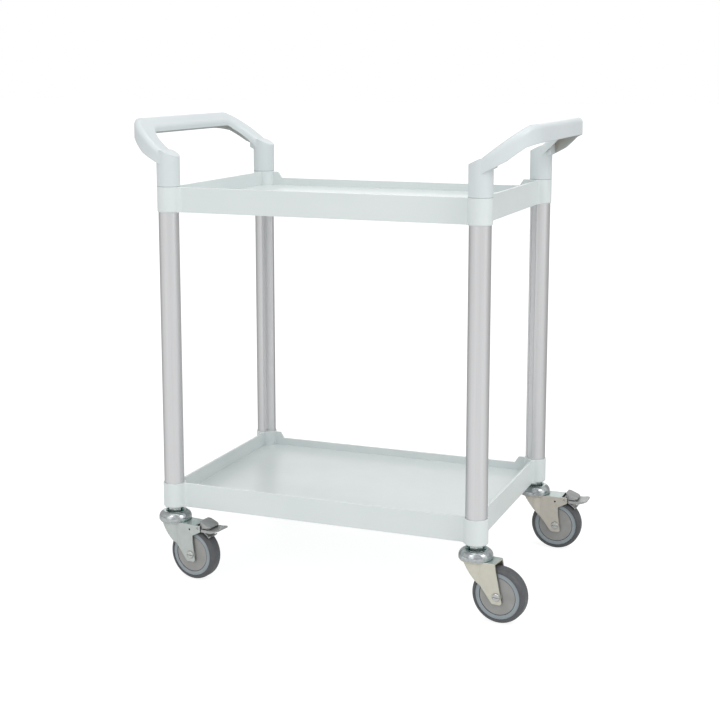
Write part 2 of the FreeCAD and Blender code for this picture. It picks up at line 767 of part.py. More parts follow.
def cap(name, at):
    """The domed upper race, with a recess for the collar and a groove for the balls."""
    low = "fork_top + cap_gap"
    top = f"{low} + cap_tall"
    seat = f"{top} - cap_recess_deep"
    groove = "ball_circle / 2"
    half_groove = "ball_diameter / 2 + groove_gap"
    ceiling = "fork_top + ball_diameter + 2 * seat_gap"
    bore = "king_diameter / 2 + running_fit"
    body = new_body(name + "_cap", **at)
    revolved(body, name + "_dome", "XZ_Plane",
             [(bore, f"{seat} - cap_steel"), (f"{groove} - ({half_groove})", f"{seat} - cap_steel"),
              (f"{groove} - ({half_groove})", ceiling), (f"{groove} + {half_groove}", ceiling),
              (f"{groove} + {half_groove}", low), ("cap_diameter / 2", low),
              ("cap_diameter / 2", f"{low} + cap_skirt", "cap_round", 1),
              ("cap_crown_diameter / 2", top), ("cap_recess_diameter / 2 + cap_steel", top),
              ("cap_recess_diameter / 2", f"{top} - cap_steel"), ("cap_recess_diameter / 2", seat),
              (bore, seat)])
    node(body, name + "_cap")


def balls(name, at):
    """The ring of bearing balls between the cap and the fork."""
    ring = []
    for index in range(BALL_COUNT):
        angle = index * 360 / BALL_COUNT
        ring.append(primitive("Sphere", f"{name}_ball_{index}", f"ball_circle / 2 * cos({angle})",
                              f"ball_circle / 2 * sin({angle})",
                              "fork_top + seat_gap + ball_diameter / 2", Radius="ball_diameter / 2"))
    node(place(grouped(name + "_balls", ring), **at), name + "_balls")


def fork(name, at, braked):
    """A pressed fork: a crown plate with a leg on each side of the wheel."""
    toe_low = "fork_toe"
    toe_in, toe_out = "trail - toe_half_width", "trail + toe_half_width"
    foot = [(toe_in, f"{toe_low} + toe_chamfer"), (f"{toe_in} + toe_chamfer", toe_low),
            (f"{toe_out} - toe_chamfer", toe_low), (toe_out, f"{toe_low} + toe_chamfer")]
    back = [("fork_back", "fork_top")]
    reach = "fork_back"
    if braked:
        back = [("arm_throat_out", "arm_throat_low"), ("arm_throat_out", "arm_throat_high"),
                ("arm_reach", "arm_underside"), ("arm_reach", "fork_top")]
        reach = "arm_plate_reach"
    side = foot + back + [("-fork_front", "fork_top")]
    plate_low = "fork_top - fork_steel"
    gap = "fork_width - 2 * fork_steel"
    head = "(head_diameter / 2)"
    inner_head = f"({head} - fork_steel)"
    inner_lead = "(flare_lead - fork_steel * sin(45))"
    inner_start = "flare_out - fork_steel * tan(22.5)"
    inner_side = f"sqrt({inner_head} ^ 2 - {inner_lead} ^ 2)"
    body = new_body(name + "_fork", **at)
    prism(body, "Pad", name + "_cheeks", "XZ_Plane", side, "head_diameter", both_ways=True)
    prism(body, "Pocket", name + "_gap", "XY_Plane",
          [("arm_reach + overrun", f"-({gap}) / 2"), ("arm_reach + overrun", f"({gap}) / 2"),
           (inner_start, f"({gap}) / 2"), (inner_lead, inner_side, inner_head, 1),
           (f"-{inner_head}", "0", inner_head, 1), (inner_lead, f"-{inner_side}"),
           (inner_start, f"-({gap}) / 2")], plate_low, offset=plate_low)
    for sign, turn in (("-", -1), ("", 1)):
        flank = f"{sign}(fork_width / 2)"
        beyond = f"{sign}({head} + overrun)"
        prism(body, "Pocket", f"{name}_flank_{'near' if sign else 'far'}", "XY_Plane",
              [("arm_reach + overrun", flank), ("flare_out", flank),
               ("flare_lead", f"{sign}sqrt({head} ^ 2 - flare_lead ^ 2)", head, turn),
               (f"-{head}", "0"), (f"-{head} - overrun", "0"), (f"-{head} - overrun", beyond),
               ("arm_reach + overrun", beyond)], "fork_top", offset="fork_top")
    if braked:
        prism(body, "Pocket", name + "_mouth", "XZ_Plane",
              rectangle(reach, "arm_reach + overrun", f"{plate_low} - overrun", "fork_top + overrun"),
              gap, both_ways=True)
    prism(body, "Pad", name + "_crown", "XY_Plane", disc("crown_diameter / 2"),
          "fork_steel", offset=plate_low)
    prism(body, "Pad", name + "_boss", "XY_Plane", disc("crown_boss_diameter / 2"),
          "crown_boss_tall + fork_steel / 2", offset="fork_top - fork_steel / 2")
    prism(body, "Pocket", name + "_king_bore", "XY_Plane",
          disc("king_diameter / 2 + running_fit"),
          "fork_steel + crown_boss_tall + 2 * overrun",
          offset="fork_top + crown_boss_tall + overrun")
    prism(body, "Pocket", name + "_axle_bore", "XZ_Plane",
          disc("axle_diameter / 2 + push_fit", "trail", "axle_level"),
          "fork_width + overrun", both_ways=True)
    if braked:
        prism(body, "Pocket", name + "_spring_bore", "XZ_Plane",
              disc("spring_hole_diameter / 2", "spring_hole_out", "spring_hole_level"),
              "fork_width + overrun", both_ways=True)
        prism(body, "Pocket", name + "_pin_bore", "XZ_Plane",
              disc("pin_diameter / 2 + push_fit", "pin_out", "pin_level"),
              "fork_width + overrun", both_ways=True)
    node(body, name + "_fork")


def tyre(name, at):
    half = "wheel_width / 2"
    outer = "wheel_diameter / 2"
    inner = "core_diameter / 2 + push_fit"
    shoulder = f"{outer} - tread_shoulder"
    body = new_body(name + "_tyre", **at)
    revolved(body, name + "_tread", "XY_Plane",
             [(inner, f"-({half})"), (shoulder, f"-({half})", "tread_round", 1),
              (outer, "-tread_flat / 2"), (outer, "tread_flat / 2", "tread_round", 1),
              (shoulder, half), (inner, half)])
    node(body, name + "_tyre")


def core(name, at):
    """The wheel's moulded centre: a hub, a web and a rim that the tyre is bonded to."""
    outer = "core_diameter / 2"
    half = "core_width / 2"
    recess = "disc_diameter / 2 + disc_edge_gap"
    rim_in = "core_diameter / 2 - core_rim"
    floor = f"{half} - disc_inset - disc_thick - disc_gap"
    hub = "hub_diameter / 2"
    bore = "bush_diameter / 2 + running_fit"
    web = "core_web / 2"
    half_rows = [(bore, floor), (hub, floor), (hub, web), (f"{rim_in} - core_web / 2", web),
                 (f"{rim_in} - core_web / 2", floor), (recess, floor), (recess, half), (outer, half)]
    mirrored = [(r, f"-({y})") for r, y in reversed(half_rows)]
    body = new_body(name + "_wheel_core", **at)
    revolved(body, name + "_core", "XY_Plane", half_rows + mirrored)
    node(body, name + "_wheel_core")


def dust_discs(name, at):
    """A pair of discs that stand still beside the turning wheel, each with a spacer boss."""
    outer = "core_width / 2 - disc_inset"
    inner = f"{outer} - disc_thick"
    boss = "disc_boss_diameter / 2"
    bore = "axle_diameter / 2 + push_fit"
    leg = "fork_width / 2 - fork_steel"
    pair = []
    for tag, sign in (("near", "-"), ("far", "")):
        body = new_body(f"{name}_{tag}_disc")
        rows = [(bore, inner), ("disc_diameter / 2", inner), ("disc_diameter / 2", outer),
                (boss, outer), (boss, leg), (bore, leg)]
        revolved(body, f"{name}_{tag}_plate", "XY_Plane", [(r, f"{sign}({z})") for r, z in rows])
        pair.append(body)
    node(place(grouped(name + "_dust_discs", pair), **at), name + "_dust_discs")


def bush(name, at):
    """The steel tube that the hub turns on."""
    half = "core_width / 2 - disc_inset - disc_thick"
    body = new_body(name + "_bush", **at)
    revolved(body, name + "_tube", "XY_Plane",
             rectangle("axle_diameter / 2 + push_fit", "bush_diameter / 2", f"-({half})", half))
    node(body, name + "_bush")


def axle(name, at):
    """The axle bolt, its slotted head on the near side, and its nut."""
    leg = "fork_width / 2"
    far = f"{leg} + axle_nut_tall + axle_end"
    bolt = new_body(name + "_axle_bolt")
    revolved(bolt, name + "_shank", "XY_Plane",
             [("0", f"-({leg}) - axle_head_tall"),
              ("axle_head_diameter / 2 - axle_head_round", f"-({leg}) - axle_head_tall", "axle_head_round", 1),
              ("axle_head_diameter / 2", f"-({leg}) - axle_head_tall + axle_head_round"),
              ("axle_head_diameter / 2", f"-({leg})"), ("axle_diameter / 2", f"-({leg})"),
              ("axle_diameter / 2", far), ("0", far)])
    prism(bolt, "Pocket", name + "_slot", "XZ_Plane",
          rectangle("-axle_head_diameter", "axle_head_diameter", "-slot_width / 2", "slot_width / 2"),
          "slot_deep + overrun", offset=f"{leg} + axle_head_tall - slot_deep", backwards=True)
    nut = new_body(name + "_axle_nut")
    prism(nut, "Pad", name + "_nut_pad", "XZ_Plane", hexagon("axle_nut_flats"),
          "axle_nut_tall", offset=f"-({leg}) - axle_nut_tall")
    prism(nut, "Pocket", name + "_nut_bore", "XZ_Plane",
          disc("axle_diameter / 2 + push_fit"), "2 * fork_width + 2 * axle_nut_tall",
          both_ways=True)
    node(place(grouped(name + "_axle", [bolt, nut]), **at), name + "_axle")


# Brake


def brake_pin(name, at):
    body = new_body(name + "_brake_pin", **at)
    prism(body, "Pad", name + "_brake_pin_pad", "XZ_Plane",
          disc("pin_diameter / 2", "pin_out", "pin_level"),
          "fork_width - fork_steel / 2", both_ways=True)
    node(body, name + "_brake_pin")


def pedal(name, at):
    """A pressed pedal: an upper leaf with skirts, over a longer lower leaf with flanges, and a
    narrower web that joins both to the barrel on the pin."""
    body = new_body(name + "_pedal", **at)
    steel = "pedal_steel"
    front = "pin_out - pedal_barrel_diameter / 2"
    under_top = f"pedal_top - {steel}"
    under_end = f"upper_leaf_low - {steel}"
    prism(body, "Pad", name + "_web", "XZ_Plane",
          [(front, "pin_level"), ("pin_out", "pin_level - pedal_barrel_diameter / 2"),
           (f"skirt_start + {steel}", "lower_leaf_low + lower_leaf_tall / 4"),
           (f"upper_leaf_end - {steel}", f"lower_leaf_high - {steel} / 2"),
           (f"upper_leaf_end - {steel}", f"upper_leaf_low - {steel} / 2"),
           (f"upper_leaf_start + {steel}", f"{under_top} - {steel} / 4")], "pedal_web_width", both_ways=True)
    prism(body, "Pocket", name + "_web_gap", "XZ_Plane",
          rectangle("pin_out - pedal_barrel_diameter", "lower_leaf_end",
                    "pin_level - pedal_barrel_diameter", "pedal_top"),
          f"pedal_web_width - 2 * {steel}", both_ways=True)
    prism(body, "Pad", name + "_barrel", "XZ_Plane",
          disc("pedal_barrel_diameter / 2", "pin_out", "pin_level"), "pedal_web_width", both_ways=True)
    prism(body, "Pad", name + "_upper_leaf", "XZ_Plane",
          [("upper_leaf_start", under_top), ("upper_leaf_end", under_end),
           ("upper_leaf_end", "upper_leaf_low"), ("upper_leaf_start", "pedal_top")],
          "upper_leaf_width", both_ways=True)
    for tag, edge, inward in (("root", "upper_leaf_start", "+"), ("end", "upper_leaf_end", "-")):
        trim_corners(body, f"{name}_upper_{tag}", edge, inward, "upper_leaf_width", "upper_leaf_chamfer")
    slope = "(pedal_top - upper_leaf_low) / (upper_leaf_end - upper_leaf_start)"
    prism(body, "Pad", name + "_skirts", "XZ_Plane",
          [("skirt_start", "skirt_low"), ("upper_leaf_end - upper_leaf_chamfer", "skirt_low"),
           ("upper_leaf_end - upper_leaf_chamfer", f"{under_end} + upper_leaf_chamfer * {slope} + {steel} / 2"),
           ("skirt_start", f"{under_top} - skirt_root * {slope} + {steel} / 2")],
          "upper_leaf_width", both_ways=True)
    prism(body, "Pocket", name + "_skirt_gap", "XZ_Plane",
          [(f"skirt_start - {steel}", "skirt_low - overrun"),
           ("upper_leaf_end", "skirt_low - overrun"), ("upper_leaf_end", under_end),
           (f"skirt_start - {steel}", f"{under_top} - (skirt_root - {steel} - upper_leaf_root) * {slope}")],
          f"pedal_web_width - 2 * {steel}", both_ways=True)
    prism(body, "Pad", name + "_lower_leaf", "XZ_Plane",
          [("skirt_start", "lower_leaf_low"), ("lower_leaf_bend", "lower_leaf_low"),
           ("lower_leaf_end", f"lower_leaf_tip - {steel}"), ("lower_leaf_end", "lower_leaf_tip"),
           ("lower_leaf_bend", "lower_leaf_high"), ("skirt_start", "lower_leaf_high")],
          "lower_leaf_width", both_ways=True)
    trim_corners(body, name + "_lower_end", "lower_leaf_end", "-", "lower_leaf_width", "lower_leaf_chamfer",
                 "lower_leaf_high + lower_leaf_tall")
    prism(body, "Pocket", name + "_lower_hollow", "XZ_Plane",
          rectangle("skirt_start - overrun", "lower_leaf_bend", "lower_leaf_low - overrun",
                    f"lower_leaf_high - {steel}"),
          f"pedal_web_width - 2 * {steel}", both_ways=True)
    prism(body, "Pocket", name + "_pedal_bore", "XZ_Plane",
          disc("pin_diameter / 2 + running_fit", "pin_out", "pin_level"),
          "fork_width", both_ways=True)
    node(body, name + "_pedal")


def trim_corners(body, name, edge, inward, width, chamfer, level="pedal_top + overrun"):
    """Cut both corners off one end of a leaf."""
    beyond = "-" if inward == "+" else "+"
    for side, sign in (("near", "-"), ("far", "")):
        prism(body, "Pocket", f"{name}_{side}", "XY_Plane",
              [(edge, f"{sign}({width} / 2 - {chamfer})"), (f"{edge} {inward} {chamfer}", f"{sign}({width} / 2)"),
               (f"{edge} {inward} {chamfer}", f"{sign}({width} / 2 + overrun)"),
               (f"{edge} {beyond} overrun", f"{sign}({width} / 2 + overrun)"),
               (f"{edge} {beyond} overrun", f"{sign}({width} / 2 - {chamfer})")],
              "pedal_rise + lower_leaf_drop + 2 * overrun", offset=level)


def shoe(name, at):
    """The brake shoe: a strip from under the crown plate, curved over the tread."""
    body = new_body(name + "_brake_shoe", **at)
    radius = "wheel_diameter / 2 + shoe_gap"
    top = "fork_top - fork_steel - seat_gap"

    def rim(angle, extra):
        return (f"trail + ({radius} + {extra}) * cos({angle})",
                f"axle_level + ({radius} + {extra}) * sin({angle})")

    prism(body, "Pad", name + "_shoe_pad", "XZ_Plane",
          [("shoe_root_out", f"{top} - shoe_steel"), ("shoe_root_out + shoe_steel", f"{top} - shoe_steel"),
           rim("shoe_start_angle", "0") + (radius, -1), rim("shoe_end_angle", "0"),
           rim("shoe_end_angle", "shoe_tab"), rim("shoe_tab_angle", "shoe_tab"),
           rim("shoe_tab_angle", "shoe_steel") + (f"{radius} + shoe_steel", 1),
           rim("shoe_start_angle", "shoe_steel"), ("shoe_root_out + 2 * shoe_steel", top),
           ("shoe_root_out", top)], "shoe_width", both_ways=True)
    node(body, name + "_brake_shoe")


# The whole trolley

tray("lower_tray", "lower_tray_level", "0")
tray("upper_tray", "upper_tray_level", "pin_offset")

inserts, feet, heads = [], [], []
for corner, side_x, side_y, turn, braked in CORNERS:
    where = (side_x, side_y, turn)
    post("post_" + corner, *where)
    inserts.append(castor_insert("insert_" + corner, *where))
    feet.append(post_plug("foot_" + corner, "lower_tray_level + socket_web_level + socket_web",
                          "foot_plug_tall", *where))
    heads.append(post_plug("head_" + corner, "upper_tray_level + socket_web_level - plug_tall",
                           "plug_tall", *where))
    castor(corner, side_x, side_y, braked)
node(grouped("castor_inserts", inserts), "castor_inserts")
node(grouped("post_foot_plugs", feet), "post_foot_plugs")
node(grouped("post_head_plugs", heads), "post_head_plugs")
handle("handle_left", -1)
handle("handle_right", 1)

DOC.recompute()
faults = [item.Name for item in DOC.Objects if "Invalid" in item.State or "Error" in item.State]
faults += [piece.Label for piece in NODES if piece.Shape.isNull() or not piece.Shape.isValid()]
if faults:
    raise RuntimeError("these objects failed: " + ", ".join(faults))
os.makedirs("parts", exist_ok=True)
for piece in NODES:
    piece.Shape.exportStep(os.path.join("parts", piece.Label + ".step"))
print(len(NODES), "nodes")
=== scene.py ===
import math

import bmesh
import bpy
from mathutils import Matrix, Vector

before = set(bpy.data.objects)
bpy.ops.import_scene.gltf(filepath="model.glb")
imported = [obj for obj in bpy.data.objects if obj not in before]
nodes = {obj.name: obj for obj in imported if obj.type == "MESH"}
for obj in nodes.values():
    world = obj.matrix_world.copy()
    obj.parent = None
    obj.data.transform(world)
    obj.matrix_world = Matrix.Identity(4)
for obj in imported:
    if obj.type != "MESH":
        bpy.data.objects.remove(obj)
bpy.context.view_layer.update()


# Castor wheels
# Each wheel is a grey rubber tyre moulded onto a blue-grey polypropylene centre, which turns on a
# steel bush. A dust disc on each side stands still between the centre and the fork's leg.
CORNERS = ("front_left", "front_right", "back_right", "back_left")
MM = 0.001


def linear(code):
    """An sRGB hex value as linear light."""
    shares = [int(code[place:place + 2], 16) / 255 for place in (0, 2, 4)]
    return [share / 12.92 if share <= 0.04045 else ((share + 0.055) / 1.055) ** 2.4
            for share in shares] + [1.0]


def add(tree, kind, inputs=None, **settings):
    """A node with its settings, and its inputs set or linked."""
    node = tree.nodes.new(kind)
    for name, value in settings.items():
        setattr(node, name, value)
    for name, value in (inputs or {}).items():
        if isinstance(value, bpy.types.NodeSocket):
            tree.links.new(value, node.inputs[name])
        else:
            node.inputs[name].default_value = value
    return node


def start_material(name, **sockets):
    """A new material: its tree, its surface shader and the object's own coordinates."""
    material = bpy.data.materials.new(name)
    material.use_nodes = True
    tree = material.node_tree
    tree.nodes.clear()
    shader = add(tree, "ShaderNodeBsdfPrincipled",
                 {socket.replace("_", " "): value for socket, value in sockets.items()})
    add(tree, "ShaderNodeOutputMaterial", {"Surface": shader.outputs[0]})
    place = add(tree, "ShaderNodeTexCoord").outputs["Object"]
    return material, tree, shader, place


def feed(tree, shader, **patterns):
    """Link patterns to the surface shader's sockets of the same names."""
    for socket, pattern in patterns.items():
        tree.links.new(pattern, shader.inputs[socket.replace("_", " ")])


def between(tree, place, grain_mm, low, high, detail=2.0, stretch=(1, 1, 1)):
    """A number that drifts between two values over patches of a size in millimetres."""
    spread = add(tree, "ShaderNodeMapping", {"Vector": place, "Scale": stretch})
    noise = add(tree, "ShaderNodeTexNoise",
                {"Vector": spread.outputs[0], "Scale": 1 / (grain_mm * MM), "Detail": detail})
    # Noise seldom leaves the span from 0.3 to 0.7, which is spread over the whole range
    return add(tree, "ShaderNodeMapRange",
               {"Value": noise.outputs[0], "From Min": 0.3, "From Max": 0.7,
                "To Min": low, "To Max": high}).outputs[0]


def mottle(tree, place, grain_mm, low, high, detail=3.0, stretch=(1, 1, 1)):
    """A colour that drifts between two hex values over patches of a size in millimetres."""
    share = between(tree, place, grain_mm, 0, 1, detail, stretch)
    return add(tree, "ShaderNodeMix", {0: share, 6: linear(low), 7: linear(high)},
               data_type="RGBA").outputs[2]


def relief(tree, place, grain_mm, depth_mm, edge_mm, stretch=(1, 1, 1)):
    """Fine grain of a size and a depth, over edges that look rounded by a radius."""
    height = between(tree, place, grain_mm, 0, 1, stretch=stretch)
    rounded = add(tree, "ShaderNodeBevel", {"Radius": edge_mm * MM}, samples=6).outputs[0]
    return add(tree, "ShaderNodeBump", {"Strength": 1.0, "Height": height,
                                        "Distance": depth_mm * MM, "Normal": rounded}).outputs[0]


def painted_crevice_shade(tree, tone, reach_mm, shade_tone, start, end):
    """Painted shade: a colour that turns to a deeper one where walls stand closer than a reach in
    millimetres.
    """
    clear = add(tree, "ShaderNodeAmbientOcclusion", {"Distance": reach_mm * MM}, samples=6)
    crevice_shade_share = add(tree, "ShaderNodeMapRange",
                {"Value": clear.outputs["AO"], "From Min": start, "From Max": end})
    return add(tree, "ShaderNodeMix", {0: crevice_shade_share.outputs[0], 6: linear(shade_tone), 7: tone},
               data_type="RGBA").outputs[2]


def dress(piece, material):
    """Give every face of a piece one material."""
    for slot in piece.material_slots:
        slot.material = material


# Rubber: matt and dark, so the tyre reads as a soft band with a broad, dull shine on its round
tread_rubber, tree, shader, place = start_material("moulded grey rubber", Roughness=0.55)
tone = mottle(tree, place, grain_mm=9, low="4c4e51", high="56585b")
feed(tree, shader,
     # Painted shade: the rubber goes darker where other faces stand close
     Base_Color=painted_crevice_shade(tree, tone, reach_mm=6, shade_tone="2c2d2e", start=0.1, end=0.8),
     Normal=relief(tree, place, grain_mm=1.2, depth_mm=0.05, edge_mm=0.9))

# Polypropylene centre: a cool grey ring with a soft shine and flow marks a few centimetres wide
wheel_plastic, tree, shader, place = start_material("moulded blue-grey polypropylene", IOR=1.49)
tone = mottle(tree, place, grain_mm=25, low="8d979c", high="969fa4")
feed(tree, shader,
     # Painted shade: the ring goes darker where other faces stand close
     Base_Color=painted_crevice_shade(tree, tone, reach_mm=5, shade_tone="5c6468", start=0.1, end=0.9),
     Roughness=between(tree, place, grain_mm=12, low=0.36, high=0.46),
     Normal=relief(tree, place, grain_mm=0.9, depth_mm=0.02, edge_mm=0.8))

# Dust disc: neutral grey nylon, duller than the ring, with painted shade as a dark line where the
# two part
disc_plastic, tree, shader, place = start_material("moulded neutral grey nylon", IOR=1.53)
tone = mottle(tree, place, grain_mm=18, low="91918f", high="9b9b99")
feed(tree, shader,
     Base_Color=painted_crevice_shade(tree, tone, reach_mm=3, shade_tone="4e4d4a", start=0.1, end=0.9),
     Roughness=between(tree, place, grain_mm=10, low=0.4, high=0.52),
     Normal=relief(tree, place, grain_mm=0.8, depth_mm=0.03, edge_mm=0.6))

# Bush: turned steel, bright where it shows between hub and bolt
bush_steel, tree, shader, place = start_material("turned steel", Metallic=1.0)
feed(tree, shader,
     Base_Color=mottle(tree, place, grain_mm=3, low="a3a4a5", high="b8b9ba"),
     Roughness=between(tree, place, grain_mm=2, low=0.28, high=0.4))

for corner in CORNERS:
    dress(nodes[f"castor_{corner}_tyre"], tread_rubber)
    dress(nodes[f"castor_{corner}_wheel_core"], wheel_plastic)
    dress(nodes[f"castor_{corner}_dust_discs"], disc_plastic)
    dress(nodes[f"castor_{corner}_bush"], bush_steel)


# Castor forks, axles, stems and caps
# Pressed steel, zinc plated after forming. The domed cap holds the ring of balls on the fork's
# crown, the stem goes up through both into the lower tray, and a slotted bolt carries the wheel.
def painted_by_slope(tree, tone, start, end, painted_tone):
    """Painted light by slope: a colour that turns to another as the normal's upward share goes
    from start to end.
    """
    normal = add(tree, "ShaderNodeTexCoord").outputs["Normal"]
    upward = add(tree, "ShaderNodeSeparateXYZ", {0: normal}).outputs["Z"]
    share = add(tree, "ShaderNodeMapRange", {"Value": upward, "From Min": start, "From Max": end})
    return add(tree, "ShaderNodeMix", {0: share.outputs[0], 6: tone, 7: linear(painted_tone)},
               data_type="RGBA").outputs[2]


def plated(name, low, high, smooth, rough, shade_tone, reach_mm, edge_mm, painted_top_tone=None, painted_under_shade=None):
    """Zinc plate: cloudy patches a centimetre wide, painted shade in recesses and bends that catch
    the light. The faces that look up and down can carry painted tones of their own: a painted
    reflection on top, painted shade below."""
    material, tree, shader, place = start_material(name, Metallic=0.85)
    tone = mottle(tree, place, grain_mm=11, low=low, high=high, detail=4.0)
    # Painted light: faces that look up or down turn to tones of their own
    if painted_top_tone:
        tone = painted_by_slope(tree, tone, start=0.6, end=0.9, painted_tone=painted_top_tone)
    if painted_under_shade:
        tone = painted_by_slope(tree, tone, start=-0.15, end=-0.7, painted_tone=painted_under_shade)
    feed(tree, shader,
         Base_Color=painted_crevice_shade(tree, tone, reach_mm, shade_tone, start=0.1, end=0.85),
         Roughness=between(tree, place, grain_mm=6, low=smooth, high=rough),
         Normal=relief(tree, place, grain_mm=0.7, depth_mm=0.02, edge_mm=edge_mm))
    return material


# Forks: the plating differs in tone from one to the next, some cool and some with a yellow bloom.
# Each crown plate, which looks up, carries a painted reflection in a cooler tone than its cheeks,
# and each fork has painted shade in its recesses
FORK_TONES = {"front_left": ("bcc2bf", "c4cac7"), "front_right": ("cac8bb", "d1cfc2"),
              "back_right": ("c4bfb5", "ccc7be"), "back_left": ("b8b6ab", "c4c2b8")}
for corner, (low, high) in FORK_TONES.items():
    fork_steel = plated(f"zinc-plated pressed steel {corner.replace('_', ' ')}", low, high,
                        smooth=0.3, rough=0.4, shade_tone="4b4a45", reach_mm=7, edge_mm=1.6,
                        painted_top_tone="c3cfcc")
    dress(nodes[f"castor_{corner}_fork"], fork_steel)

# Caps: bright plate that mirrors the room in bands, with painted shade, tinted blue-green, down in
# the recess, and painted shade on the faces that look down
cap_steel = plated("bright zinc-plated steel", "949a9c", "c6cbcc", smooth=0.06, rough=0.12,
                   shade_tone="8fb3ae", reach_mm=10, edge_mm=0.8, painted_under_shade="565c5d")

# Stems: forged and plated, duller than the caps, with painted shade, tinted blue-green, where
# other parts close round them
stem_steel = plated("zinc-plated forged steel", "c2cdca", "d6dedb", smooth=0.16, rough=0.26,
                    shade_tone="9db4af", reach_mm=6, edge_mm=0.8)

# Bolts: a domed head with a soft shine and painted shade that darkens the slot
axle_steel = plated("zinc-plated bolt steel", "b5b6b4", "cbccca", smooth=0.18, rough=0.25,
                    shade_tone="3a3a38", reach_mm=2.5, edge_mm=0.6)

# Balls: polished, the brightest metal, seen only as glints under the cap
ball_steel, tree, shader, place = start_material("polished bearing steel", Metallic=1.0)
feed(tree, shader,
     Base_Color=mottle(tree, place, grain_mm=2, low="c4c5c6", high="d6d7d8"),
     Roughness=between(tree, place, grain_mm=2, low=0.08, high=0.14))

for corner in CORNERS:
    dress(nodes[f"castor_{corner}_cap"], cap_steel)
    dress(nodes[f"castor_{corner}_stem"], stem_steel)
    dress(nodes[f"castor_{corner}_axle"], axle_steel)
    dress(nodes[f"castor_{corner}_balls"], ball_steel)


# Brakes
# The pedal is pressed steel with a dull plating, on a pin between the fork's arms. The shoe below
# it is a strip of spring steel, darker and smoother, and the pin is plated as the bolts are.
BRAKED = ("front_left", "back_right")
# Both carry painted shade where their faces stand close
pedal_steel = plated("dull plated pressed steel", "a8a9a9", "b6b7b7", smooth=0.38, rough=0.5,
                     shade_tone="3c3c3b", reach_mm=5, edge_mm=1.0)
shoe_steel = plated("plated spring steel", "a2a4a2", "b8bab8", smooth=0.29, rough=0.36,
                    shade_tone="3c3c3b", reach_mm=5, edge_mm=0.6)
for corner in BRAKED:
    dress(nodes[f"castor_{corner}_pedal"], pedal_steel)
    dress(nodes[f"castor_{corner}_brake_shoe"], shoe_steel)
    dress(nodes[f"castor_{corner}_brake_pin"], axle_steel)


# Lower tray and the plugs in its sockets
# One injection moulding in pale mint-grey polypropylene with a fine spark-eroded texture. The
# plugs are darker nylon and hidden once the castors and posts are pressed in.
# The painted highlight on rims: its colour, the radius of the rounding it follows, and its share
# at most
RIM_PAINTED_HIGHLIGHT, RIM_RADIUS, RIM_SHARE = "f8fbfb", 1.6 * MM, 0.9
# Cosines of the turn from a face to its rounded rim, where the painted rim highlight starts and
# where it is full
RIM_START, RIM_FULL = 0.98, 0.85
# The painted shade line at a seam: its grey, and how far from the seam it is full and where it
# ends
SEAM_PAINTED_SHADE, SEAM_CORE, SEAM_EDGE = "969e9e", 0.5 * MM, 1.5 * MM


def moulded(name, low, high, shade_tone, reach_mm, start, end, painted_rim_highlights=False, seam=None):
    """Moulded plastic: soft flow marks, a broad soft shine and painted shade in its corners. Its
    rims can carry a painted highlight, and a grey line of painted shade can run round it at the
    height of a seam."""
    material, tree, shader, place = start_material(name, IOR=1.49)
    tone = mottle(tree, place, grain_mm=140, low=low, high=high, detail=2.0)
    if painted_rim_highlights:
        # Painted highlight: the rims turn lighter where the rounded normal leaves the flat one
        rounded = add(tree, "ShaderNodeBevel", {"Radius": RIM_RADIUS}, samples=6).outputs[0]
        sharp = add(tree, "ShaderNodeTexCoord").outputs["Normal"]
        turn = add(tree, "ShaderNodeVectorMath", {0: rounded, 1: sharp}, operation="DOT_PRODUCT")
        rim = add(tree, "ShaderNodeMapRange", {"Value": turn.outputs["Value"],
                                               "From Min": RIM_START, "From Max": RIM_FULL,
                                               "To Max": RIM_SHARE})
        tone = add(tree, "ShaderNodeMix", {0: rim.outputs[0], 6: tone, 7: linear(RIM_PAINTED_HIGHLIGHT)},
                   data_type="RGBA").outputs[2]
    if seam:
        # Painted shade: a grey line round the piece at the seam's height
        height = add(tree, "ShaderNodeSeparateXYZ", {0: place}).outputs["Z"]
        above = add(tree, "ShaderNodeMath", {0: height, 1: seam}, operation="SUBTRACT")
        gap = add(tree, "ShaderNodeMath", {0: above.outputs[0]}, operation="ABSOLUTE")
        line = add(tree, "ShaderNodeMapRange", {"Value": gap.outputs[0], "From Min": SEAM_EDGE,
                                                "From Max": SEAM_CORE})
        tone = add(tree, "ShaderNodeMix", {0: line.outputs[0], 6: tone, 7: linear(SEAM_PAINTED_SHADE)},
                   data_type="RGBA").outputs[2]
    feed(tree, shader,
         Base_Color=painted_crevice_shade(tree, tone, reach_mm, shade_tone, start, end),
         Roughness=between(tree, place, grain_mm=30, low=0.29, high=0.36),
         Normal=relief(tree, place, grain_mm=0.9, depth_mm=0.012, edge_mm=1.2))
    return material


# Tray plastic: pale and a little glossy, so the floors mirror walls and posts softly. Its thin
# rims carry a painted highlight that shows them lighter than the walls, and its corners painted
# shade
tray_plastic = moulded("moulded mint-grey polypropylene", "d4dbdb", "d8dfde", "8b9292",
                       reach_mm=4, start=0.0, end=0.45, painted_rim_highlights=True)

# Plug nylon: mid grey and dull, hardly seen, with painted shade in its corners
plug_plastic = moulded("moulded grey nylon", "8d9192", "989c9d", "4c4f50",
                       reach_mm=4, start=0.1, end=0.9)
dress(nodes["lower_tray"], tray_plastic)
dress(nodes["castor_inserts"], plug_plastic)
dress(nodes["post_foot_plugs"], plug_plastic)


# Posts
# Each is an aluminium extrusion with a notch that faces the middle of the trolley. It is brushed
# along its length, anodised a satin silver and pushed into the trays' sockets.
POST_X, POST_Y, POST_RADIUS = 0.3, 0.2065, 0.0195
# The notch's walls lie from 0.5 mm to 2 mm and more inside the round skin
NOTCH_START, NOTCH_END = POST_RADIUS - 0.5 * MM, POST_RADIUS - 2 * MM
